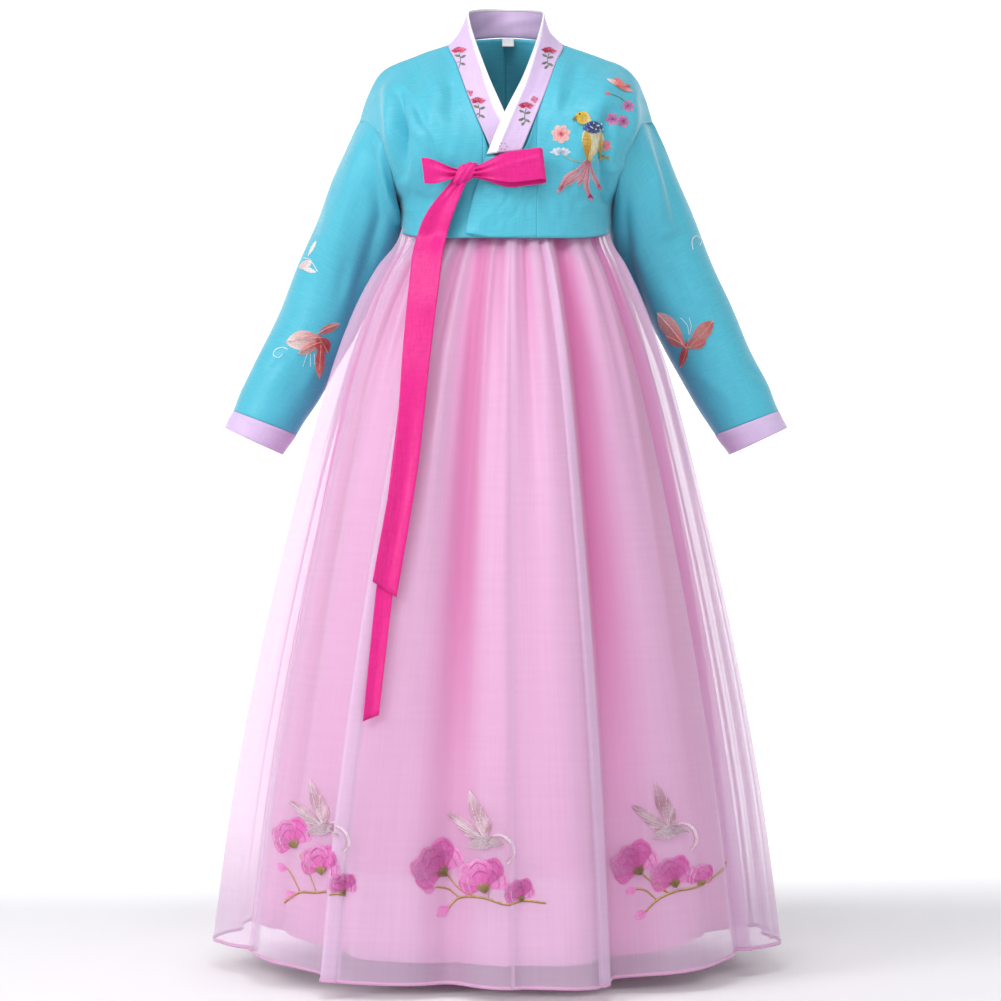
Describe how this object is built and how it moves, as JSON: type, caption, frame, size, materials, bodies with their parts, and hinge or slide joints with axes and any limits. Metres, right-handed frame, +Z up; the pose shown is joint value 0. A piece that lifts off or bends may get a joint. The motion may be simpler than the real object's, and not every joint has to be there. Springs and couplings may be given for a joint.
{
  "type": "korean hanbok",
  "caption": "Worn women's hanbok, hollow: short wrapped jacket with long sleeves, contrast collar and tied ribbon, over a full-length gathered sheer skirt with a shorter lining.",
  "frame": {"origin": "midway between the points where the collar meets the shoulders, where the wearer's shoulders carry the garment", "axes": "+X towards the wearer's left, -Y out of the front, +Z up"},
  "size_m": [0.7721, 0.7044, 1.2717],
  "materials": {
    "jacket_cloth": "fine slubbed plain weave, soft sheen",
    "collar_cloth": "fine plain weave, soft sheen",
    "white_tape": "smooth woven tape",
    "organza": "sheer organza",
    "lining_cloth": "smooth plain weave",
    "ribbon": "crisp plain weave, soft sheen"
  },
  "bodies": {
    "root": {"front_left": "jacket_cloth", "front_right": "jacket_cloth", "overlap_left": "jacket_cloth", "underlap_right": "jacket_cloth", "back_left": "jacket_cloth", "back_right": "jacket_cloth", "sleeve_left": "jacket_cloth", "sleeve_right": "jacket_cloth", "cuff_left": "collar_cloth", "cuff_right": "collar_cloth", "collar": "collar_cloth", "collar_guard": "white_tape", "label": "white_tape", "skirt_right": "organza", "skirt_left": "organza", "skirt_back": "organza", "lining_front": "lining_cloth", "lining_left": "lining_cloth", "lining_right": "lining_cloth", "waistband": "lining_cloth", "bow_knot": "ribbon", "bow_loop": "ribbon", "bow_stub": "ribbon", "tie_short": "ribbon", "tie_long": "ribbon"}
  },
  "joints": []
}
